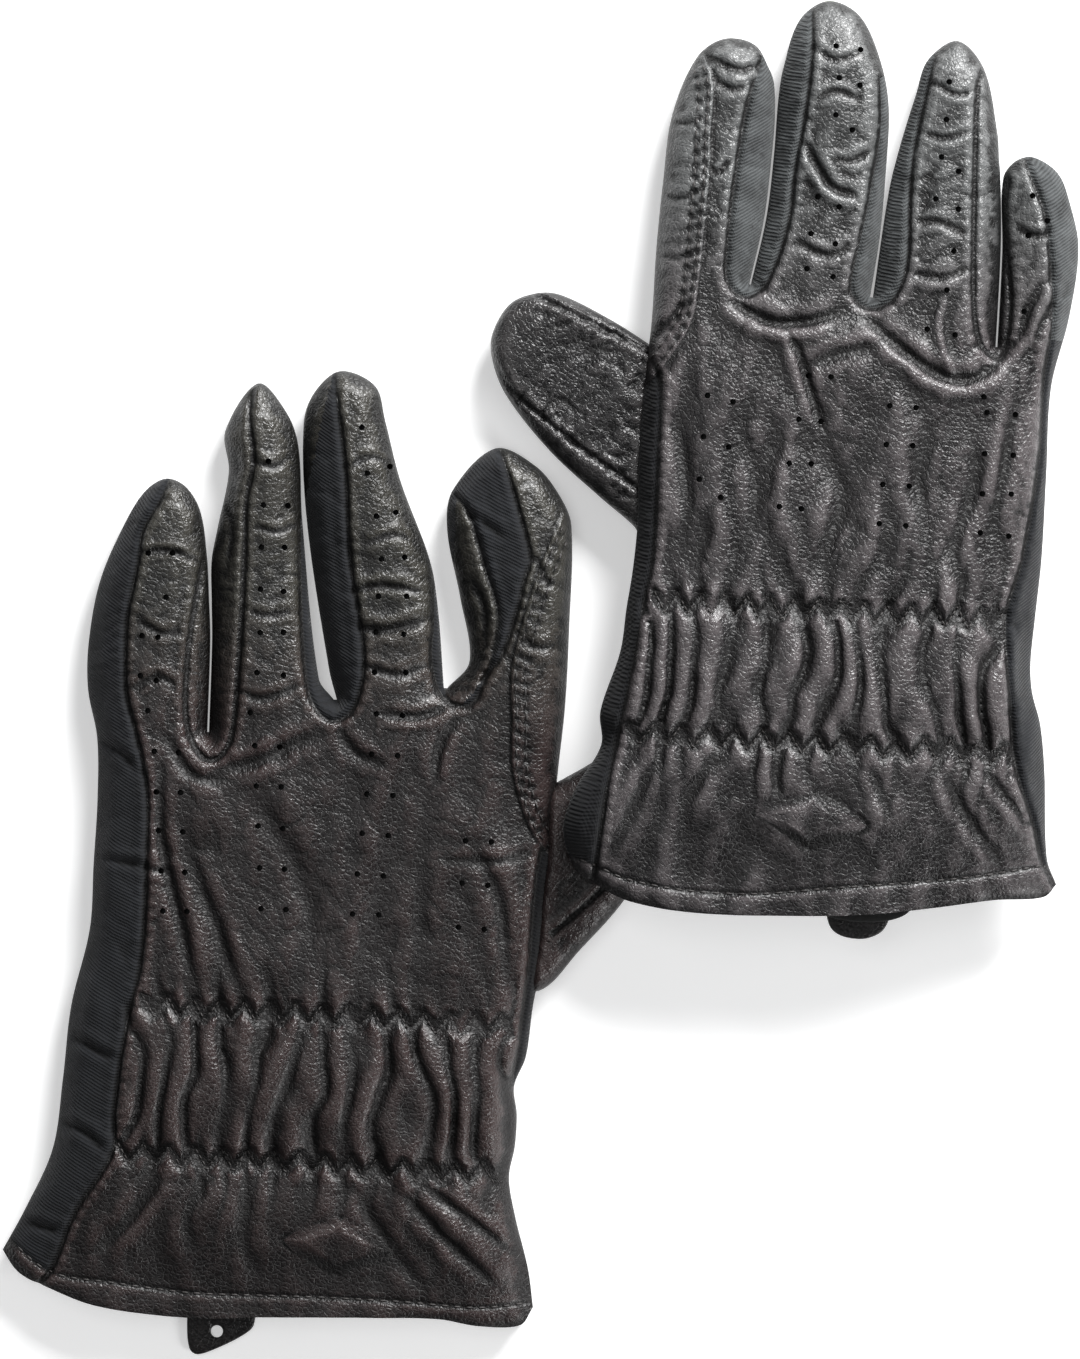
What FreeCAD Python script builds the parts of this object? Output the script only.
"""A pair of soft leather riding gloves, laid flat with the backs of the hands up.

Each glove is cut from panels: a leather back and palm, stretch side panels, and for every
finger a leather strip on a fabric sleeve.  Fingers and thumb bend at a root hinge and at a
middle hinge, and a small closure tab under the cuff opens on its sewn end.

Frame: +Y runs to the fingertips, +Z up off the table, millimetres.  A glove is drawn in its
own (u, w) plane first: w runs to the fingertips from the upper wrist gather, and u runs
towards the thumb.  The right glove's cuff lies on the left glove's thumb.
"""
import FreeCAD
import Part
import math
import os

Vector = FreeCAD.Vector

# ---------------------------------------------------------------- driving dimensions
SKIN = 1.2  # leather or fabric with its lining
HAND_HEIGHT = 13.0  # laid hand and cuff, outside
FINGER_HEIGHT = 11.0
THUMB_HEIGHT = 8.5
JOINT_GAP = 0.8  # between two bodies at a hinge line
KNUCKLE_TRIM = 4.0  # the hand's side walls stop this short of the finger roots
FINGER_GAP = 4.0  # between neighbouring fingers at their roots
HAND_RUN = 4.0  # how far a hand side wall leans in from palm to back
FINGER_RUN = 2.6  # the same for a finger

CUFF_LENGTH = 76.0  # upper gather to hem
GATHER_SPACING = 37.0  # upper gather to lower gather
INDEX_SIDE = 54.0  # u of the index finger's thumb side at its root

FINGERS = ("index", "middle", "ring", "little")
ROOT_WIDTH = {"index": 27.0, "middle": 26.0, "ring": 26.0, "little": 25.0, "thumb": 34.0}
TIP_WIDTH = {"index": 20.0, "middle": 18.0, "ring": 18.5, "little": 15.0, "thumb": 22.0}
KNUCKLE = {"index": 80.0, "middle": 80.0, "ring": 75.0, "little": 66.0}
MIDDLE_HINGE = {"index": 0.5, "middle": 0.5, "ring": 0.5, "little": 0.5, "thumb": 0.6}
TIP_CHAMFER = 0.55  # share of the tip half width taken by the rounded-off corner

# laid length and lean towards the thumb in degrees, as each glove is put down
LAID = {
    "left": {
        "index": (66.0, -3.0),
        "middle": (83.0, -12.0),
        "ring": (83.0, -5.0),
        "little": (66.0, 1.5),
        "thumb": (34.0, 45.0),
    },
    "right": {
        "index": (63.0, -6.5),
        "middle": (74.0, 1.0),
        "ring": (71.0, 0.0),
        "little": (52.0, 2.0),
        "thumb": (33.0, 57.0),
    },
}
THUMB_ROOT = {"left": (62.0, 44.0), "right": (60.0, 50.0)}

# hand outline: (u, w) down the little-finger side and down the thumb side
OUTER_WAIST = (-58.0, 0.0)
OUTER_PALM = (-61.0, 38.0)
OUTER_WRIST = (-62.0, -GATHER_SPACING)
OUTER_HEM = (-67.0, -CUFF_LENGTH)
INNER_BALL = {"left": (52.0, 7.0), "right": (50.0, 16.0)}  # under the thumb
INNER_WAIST = (49.0, 0.0)
INNER_WRIST = (49.0, -GATHER_SPACING)
INNER_HEM = (56.0, -CUFF_LENGTH)
OUTER_FLANGE = 11.0  # stretch fabric showing beside the leather back
INNER_FLANGE = 3.5

HEM_DEPTH = 6.0
HEM_THICKNESS = 0.8
ELASTIC_WIDTH = 5.0
ELASTIC_THICKNESS = 0.9
ELASTIC_INSET = 8.0  # from the back panel's side seams

TAB_CENTRE = {"left": -21.0, "right": -12.0}  # u of the closure tab's middle
TAB_WIDTH = 18.0
TAB_ROOT = 25.0  # hem to sewn end
TAB_OVERHANG = {"left": 10.0, "right": 5.0}  # past the hem
TAB_SKIN = 0.7
TAB_CLEARANCE = 0.5
TAB_CHAMFER = 8.0
TAB_HOLE_RADIUS = 1.5
TAB_HOLE_INSET = 5.0
HOOK_THICKNESS = 0.35
HOOK_MARGIN = 4.0
LOOP_THICKNESS = 0.8
LOOP_MARGIN = 4.0

PATCH_THICKNESS = 0.7
PATCH_WIDTH = 6.0
PATCH_INSET = 1.0  # from the back strip's edge and from both hinge lines

# how the two gloves lie
YAW = 3.4  # degrees that both gloves lean towards +X
ORIGIN = {"left": (-54.0, -84.0), "right": (72.0, 16.0)}
SIDE = {"left": 1.0, "right": -1.0}
TILT_LINE = KNUCKLE["middle"] + LAID["right"]["middle"][0]  # w where the tilted glove meets the table
COVERING_LINE = 72.0  # upper gather to where the right cuff begins to cover the left hand
CUFF_CLEARANCE = 1.0  # between that part of the cuff and the back of the left hand
RIGHT_TILT = math.degrees(math.asin((HAND_HEIGHT + CUFF_CLEARANCE) / (TILT_LINE + COVERING_LINE)))
LIFT_OFF = 120.0

ROOT_TRAVEL = (0, 75)
MIDDLE_TRAVEL = (0, 80)
THUMB_ROOT_TRAVEL = (0, 50)
THUMB_MIDDLE_TRAVEL = (0, 70)
TAB_TRAVEL = (0, 110)


# ---------------------------------------------------------------- plane geometry
def direction(lean):
    """Unit vector along a finger that leans this many degrees towards the thumb."""
    return (math.sin(math.radians(lean)), math.cos(math.radians(lean)))


def along(root, lean, s, d):
    """The (u, w) point s along a finger and d across it towards the thumb."""
    du, dw = direction(lean)
    return (root[0] + s * du + d * dw, root[1] + s * dw - d * du)


def offset_path(points, distance):
    """An open path moved sideways to its right by a distance, with mitred corners."""
    moved = []
    for i, p in enumerate(points):
        normals = []
        for a, b in ((i - 1, i), (i, i + 1)):
            if a >= 0 and b < len(points):
                du, dw = points[b][0] - points[a][0], points[b][1] - points[a][1]
                size = math.hypot(du, dw)
                normals.append((dw / size, -du / size))
        nu = sum(n[0] for n in normals) / len(normals)
        nw = sum(n[1] for n in normals) / len(normals)
        stretch = distance / (nu * nu + nw * nw)
        moved.append((p[0] + nu * stretch, p[1] + nw * stretch))
    return moved


# ---------------------------------------------------------------- solids
def plate(points, low, high):
    """A flat plate with a polygon outline between two heights."""
    ring = [Vector(u, w, low) for u, w in points]
    return Part.Face(Part.makePolygon(ring + ring[:1])).extrude(Vector(0, 0, high - low))


def block(low_corners, high_corners):
    """A solid between a lower and an upper four-cornered face."""
    lower = [Vector(*p) for p in low_corners]
    upper = [Vector(*p) for p in high_corners]
    loops = [lower, upper]
    for i in range(4):
        j = (i + 1) % 4
        loops.append([lower[i], lower[j], upper[j], upper[i]])
    faces = [Part.Face(Part.makePolygon(loop + loop[:1])) for loop in loops]
    solid = Part.Solid(Part.Shell(faces))
    if solid.Volume < 0:
        solid.reverse()
    return solid


def walls(path, run, low, high):
    """Side walls that stand on a path and lean in to its right, one solid for each stretch."""
    outer_low = path
    inner_low = offset_path(path, SKIN)
    outer_high = offset_path(path, run)
    inner_high = offset_path(path, run + SKIN)
    made = []
    for i in range(len(path) - 1):
        lower = [outer_low[i], outer_low[i + 1], inner_low[i + 1], inner_low[i]]
        upper = [outer_high[i], outer_high[i + 1], inner_high[i + 1], inner_high[i]]
        made.append(block([(u, w, low) for u, w in lower], [(u, w, high) for u, w in upper]))
    return made


def band(path, start, end, low, high):
    """Flat strips beside a path, from one distance in to another."""
    near, far = offset_path(path, start), offset_path(path, end)
    return [
        plate([near[i], near[i + 1], far[i + 1], far[i]], low, high) for i in range(len(path) - 1)
    ]


# ---------------------------------------------------------------- fingers
def finger_root(side, name):
    """The (u, w) centre of a finger's root hinge line."""
    if name == "thumb":
        return THUMB_ROOT[side]
    edge = INDEX_SIDE
    for other in FINGERS:
        if other == name:
            return (edge - ROOT_WIDTH[name] / 2, KNUCKLE[name])
        edge -= ROOT_WIDTH[other] + FINGER_GAP


def half_width(name, share):
    """Half of a finger's width at a share of its length."""
    return (ROOT_WIDTH[name] + (TIP_WIDTH[name] - ROOT_WIDTH[name]) * share) / 2


def finger_outline(side, name, segment):
    """A finger segment's outline, up its little-finger side and down its thumb side."""
    length, lean = LAID[side][name]
    root = finger_root(side, name)
    bend = length * MIDDLE_HINGE[name]
    if segment == "lower":
        stations = [(JOINT_GAP / 2, None), (bend - JOINT_GAP / 2, None)]
    else:
        cut = TIP_WIDTH[name] / 2 * TIP_CHAMFER
        stations = [(bend + JOINT_GAP / 2, None), (length - cut, None), (length, cut)]
    left, right = [], []
    for s, shorten in stations:
        half = half_width(name, s / length) - (shorten or 0.0)
        left.append(along(root, lean, s, -half))
        right.append(along(root, lean, s, half))
    return left, right


def finger_height(name):
    return THUMB_HEIGHT if name == "thumb" else FINGER_HEIGHT


def finger_back(side, name, segment):
    """The leather strip on the back of a finger segment."""
    left, right = finger_outline(side, name, segment)
    high = finger_height(name)
    if segment == "lower":
        outline = offset_path(left, FINGER_RUN) + offset_path(right[::-1], FINGER_RUN)
    else:
        outline = offset_path(left + right[::-1], FINGER_RUN)
    return [plate(outline, high - SKIN, high)]


def finger_sleeve(side, name, segment):
    """The fabric walls and the palm side of a finger segment, open inside."""
    left, right = finger_outline(side, name, segment)
    low, high = SKIN, finger_height(name) - SKIN
    palm = plate(left + right[::-1], 0.0, SKIN)
    if segment == "lower":
        return [palm] + walls(left, FINGER_RUN, low, high) + walls(right[::-1], FINGER_RUN, low, high)
    return [palm] + walls(left + right[::-1], FINGER_RUN, low, high)


def rein_patch(side):
    """The double-stitched wear patch on the index finger's thumb side."""
    length, lean = LAID[side]["index"]
    ends = (JOINT_GAP / 2 + PATCH_INSET, length * MIDDLE_HINGE["index"] - JOINT_GAP / 2 - PATCH_INSET)
    outline = []
    for s, inset in ((ends[0], 0), (ends[1], 0), (ends[1], PATCH_WIDTH), (ends[0], PATCH_WIDTH)):
        d = half_width("index", s / length) - FINGER_RUN - PATCH_INSET - inset
        outline.append(along(finger_root(side, "index"), lean, s, d))
    return [plate(outline, FINGER_HEIGHT, FINGER_HEIGHT + PATCH_THICKNESS)]


# ---------------------------------------------------------------- hand and cuff
def knuckle_points(side):
    """The hand's front edge, from the little finger's outer root to the index finger's."""
    points = []
    for name in FINGERS[::-1]:
        lean = LAID[side][name][1]
        half = ROOT_WIDTH[name] / 2
        for d in (-half, half):
            points.append(along(finger_root(side, name), lean, -JOINT_GAP / 2, d))
    return points


def wall_end(side, name, d):
    """Where a hand side wall stops, short of a finger's root."""
    return along(finger_root(side, name), LAID[side][name][1], -KNUCKLE_TRIM, d)


def outer_path(side):
    """The hand's little-finger side, from hem to finger root."""
    end = wall_end(side, "little", -ROOT_WIDTH["little"] / 2)
    return [OUTER_HEM, OUTER_WRIST, OUTER_WAIST, OUTER_PALM, end]


def thumb_mouth(side):
    """The two ends of the thumb's root line on the hand, upper then lower."""
    lean = LAID[side]["thumb"][1]
    half = ROOT_WIDTH["thumb"] / 2
    return [along(THUMB_ROOT[side], lean, -JOINT_GAP / 2, d) for d in (-half, half)]


def inner_paths(side):
    """The hand's thumb side above and below the thumb, both running towards the hem."""
    upper, lower = thumb_mouth(side)
    above = [wall_end(side, "index", ROOT_WIDTH["index"] / 2), upper]
    below = [lower, INNER_BALL[side], INNER_WAIST, INNER_WRIST, INNER_HEM]
    return above, below


def tab_vent(side):
    """The wrist vent in the palm that the closure tab fills, as (u, w) corners."""
    half = TAB_WIDTH / 2 + TAB_CLEARANCE
    top = -CUFF_LENGTH + TAB_ROOT
    low = -CUFF_LENGTH - 1.0
    return [
        (TAB_CENTRE[side] - half, low),
        (TAB_CENTRE[side] - half, top),
        (TAB_CENTRE[side] + half, top),
        (TAB_CENTRE[side] + half, low),
    ]


def palm_panel(side):
    above, below = inner_paths(side)
    outline = outer_path(side) + knuckle_points(side) + above + below
    return [plate(outline, 0.0, SKIN).cut(plate(tab_vent(side), -1.0, SKIN + 1.0))]


def back_panel(side):
    above, below = inner_paths(side)
    outline = offset_path(outer_path(side), HAND_RUN + OUTER_FLANGE)
    outline += knuckle_points(side)[1:-1]
    outline += offset_path(above, HAND_RUN + INNER_FLANGE)
    outline += offset_path(below, HAND_RUN + INNER_FLANGE)
    return [plate(outline, HAND_HEIGHT - SKIN, HAND_HEIGHT)]


def side_panel(paths, flange):
    """A side wall with the strip of it that folds on to the back of the hand."""
    made = []
    for path in paths:
        made += walls(path, HAND_RUN, SKIN, HAND_HEIGHT - SKIN)
        made += band(path, HAND_RUN, HAND_RUN + flange, HAND_HEIGHT - SKIN, HAND_HEIGHT)
    return made


def hem_edge(inset):
    """The hem's two u values at a distance in from the side walls."""
    return OUTER_HEM[0] + inset, INNER_HEM[0] - inset


def cuff_hem():
    left, right = hem_edge(HAND_RUN + OUTER_FLANGE)
    low, high = -CUFF_LENGTH + 1.0, -CUFF_LENGTH + 1.0 + HEM_DEPTH
    corners = [(left, low), (left, high), (right, high), (right, low)]
    return [plate(corners, HAND_HEIGHT, HAND_HEIGHT + HEM_THICKNESS)]


def wrist_elastics():
    """Two elastic bands sewn under the back, which gather it."""
    high = HAND_HEIGHT - SKIN
    left = OUTER_WAIST[0] + HAND_RUN + ELASTIC_INSET
    right = INNER_WAIST[0] - HAND_RUN - ELASTIC_INSET
    made = []
    for middle in (0.0, -GATHER_SPACING):
        low_w, high_w = middle - ELASTIC_WIDTH / 2, middle + ELASTIC_WIDTH / 2
        corners = [(left, low_w), (left, high_w), (right, high_w), (right, low_w)]
        made.append(plate(corners, high - ELASTIC_THICKNESS, high))
    return made


# ---------------------------------------------------------------- closure
def closure_tab(side):
    """The tab that closes the wrist vent, with a hanging hole near its free end."""
    left, right = TAB_CENTRE[side] - TAB_WIDTH / 2, TAB_CENTRE[side] + TAB_WIDTH / 2
    top = -CUFF_LENGTH + TAB_ROOT - JOINT_GAP
    end = -CUFF_LENGTH - TAB_OVERHANG[side]
    corners = [(left, top), (right, top), (right, end + TAB_CHAMFER)]
    corners += [(right - TAB_CHAMFER, end), (left + 1.0, end), (left, end + 1.0)]
    hole = Part.makeCylinder(
        TAB_HOLE_RADIUS, TAB_SKIN + 2.0, Vector(left + TAB_HOLE_INSET, end + TAB_HOLE_INSET, -1.0)
    )
    solid = plate(corners, 0.0, TAB_SKIN)
    return [solid.cut(hole) if side == "left" else solid]


def pad(side, margin, low_w, high_w, low, high):
    half = TAB_WIDTH / 2 - margin
    left, right = TAB_CENTRE[side] - half, TAB_CENTRE[side] + half
    return [plate([(left, low_w), (left, high_w), (right, high_w), (right, low_w)], low, high)]


def hook_pad(side):
    """Hook tape on the tab's inner face."""
    top = -CUFF_LENGTH + TAB_ROOT - HOOK_MARGIN
    return pad(side, HOOK_MARGIN, -CUFF_LENGTH + HOOK_MARGIN, top, TAB_SKIN, TAB_SKIN + HOOK_THICKNESS)


def loop_pad(side):
    """Loop tape that bridges the vent on the palm's inner face."""
    top = -CUFF_LENGTH + TAB_ROOT + LOOP_MARGIN
    return pad(side, -LOOP_MARGIN, -CUFF_LENGTH + 2.0, top, SKIN, SKIN + LOOP_THICKNESS)


# ---------------------------------------------------------------- placing a glove
def place(side):
    """The placement that lays a glove down, before the pair is centred."""
    turn = FreeCAD.Rotation(Vector(0, 0, 1), -YAW)
    spot = FreeCAD.Placement(Vector(ORIGIN[side][0], ORIGIN[side][1], 0), turn)
    if side == "left":
        return spot
    pivot = Vector(0, TILT_LINE, 0)
    tilt = FreeCAD.Rotation(Vector(1, 0, 0), -RIGHT_TILT)
    return spot.multiply(FreeCAD.Placement(Vector(0, 0, 0), tilt, pivot))


def to_frame(side, u, w, z):
    """A glove's own point in the pair's frame."""
    return place(side).multVec(Vector(u * SIDE[side], w, z)) - CENTRE


def turn_to_frame(side, du, dw):
    """A glove's own direction in the pair's frame."""
    return place(side).Rotation.multVec(Vector(du * SIDE[side], dw, 0))


def glove_parts(side):
    """Every node of one glove, as lists of solids in its own (u, w, z)."""
    parts = {
        "back_panel": back_panel(side),
        "palm_panel": palm_panel(side),
        "outer_side_panel": side_panel([outer_path(side)], OUTER_FLANGE),
        "thumb_side_panel": side_panel(inner_paths(side), INNER_FLANGE),
        "wrist_elastics": wrist_elastics(),
        "cuff_hem": cuff_hem(),
        "loop_pad": loop_pad(side),
        "closure_tab": closure_tab(side),
        "hook_pad": hook_pad(side),
        "rein_patch": rein_patch(side),
    }
    for name in FINGERS + ("thumb",):
        for segment in ("lower", "upper"):
            parts[f"{name}_{segment}_back"] = finger_back(side, name, segment)
            parts[f"{name}_{segment}_sleeve"] = finger_sleeve(side, name, segment)
    return parts


def laid(side, solids):
    """One node's solids, mirrored for the right hand and laid in place."""
    shape = Part.makeCompound(solids)
    if SIDE[side] < 0:
        shape = shape.mirror(Vector(0, 0, 0), Vector(1, 0, 0))
    shape.Placement = place(side).multiply(shape.Placement)
    return shape


def hinge(side, name, parent, child, point, across, travel):
    """A hinge at table-side height whose positive turn curls the child down."""
    axis = turn_to_frame(side, *across) * SIDE[side]
    return {
        "name": f"{side}_{name}",
        "type": "hinge",
        "parent": f"{side}_{parent}",
        "child": f"{side}_{child}",
        "pos": to_frame(side, point[0], point[1], 0.0),
        "axis": axis,
        "range_deg": list(travel),
    }


def glove_joints(side):
    """The hinges of one glove."""
    made = []
    for name in FINGERS + ("thumb",):
        length, lean = LAID[side][name]
        root = finger_root(side, name)
        du, dw = direction(lean)
        across = (-dw, du)
        bend = along(root, lean, length * MIDDLE_HINGE[name], 0.0)
        low, high = (ROOT_TRAVEL, MIDDLE_TRAVEL)
        if name == "thumb":
            low, high = (THUMB_ROOT_TRAVEL, THUMB_MIDDLE_TRAVEL)
        made.append(hinge(side, f"{name}_root", "hand", f"{name}_lower", root, across, low))
        made.append(
            hinge(side, f"{name}_bend", f"{name}_lower", f"{name}_upper", bend, across, high)
        )
    sewn = (TAB_CENTRE[side], -CUFF_LENGTH + TAB_ROOT - JOINT_GAP / 2)
    made.append(hinge(side, "tab_fold", "hand", "tab", sewn, (1.0, 0.0), TAB_TRAVEL))
    return made


# ---------------------------------------------------------------- the pair
CENTRE = Vector(0, 0, 0)
SHAPES = {}
for glove in ("left", "right"):
    for node, solids in glove_parts(glove).items():
        SHAPES[f"{glove}_{node}"] = laid(glove, solids)

extent = Part.makeCompound(list(SHAPES.values())).optimalBoundingBox(False, False)
CENTRE = Vector((extent.XMin + extent.XMax) / 2, (extent.YMin + extent.YMax) / 2, extent.ZMin)
JOINTS = glove_joints("left") + glove_joints("right")

os.makedirs("parts", exist_ok=True)
for node, shape in SHAPES.items():
    shape.translate(-CENTRE)
    shape.exportStep(f"parts/{node}.step")

print(f"{len(SHAPES)} nodes, {len(JOINTS)} hinges and one lift-off slide")
print(f"size {extent.XLength:.1f} x {extent.YLength:.1f} x {extent.ZLength:.1f} mm")
for node, shape in SHAPES.items():
    if not shape.isValid():
        print("not valid:", node)
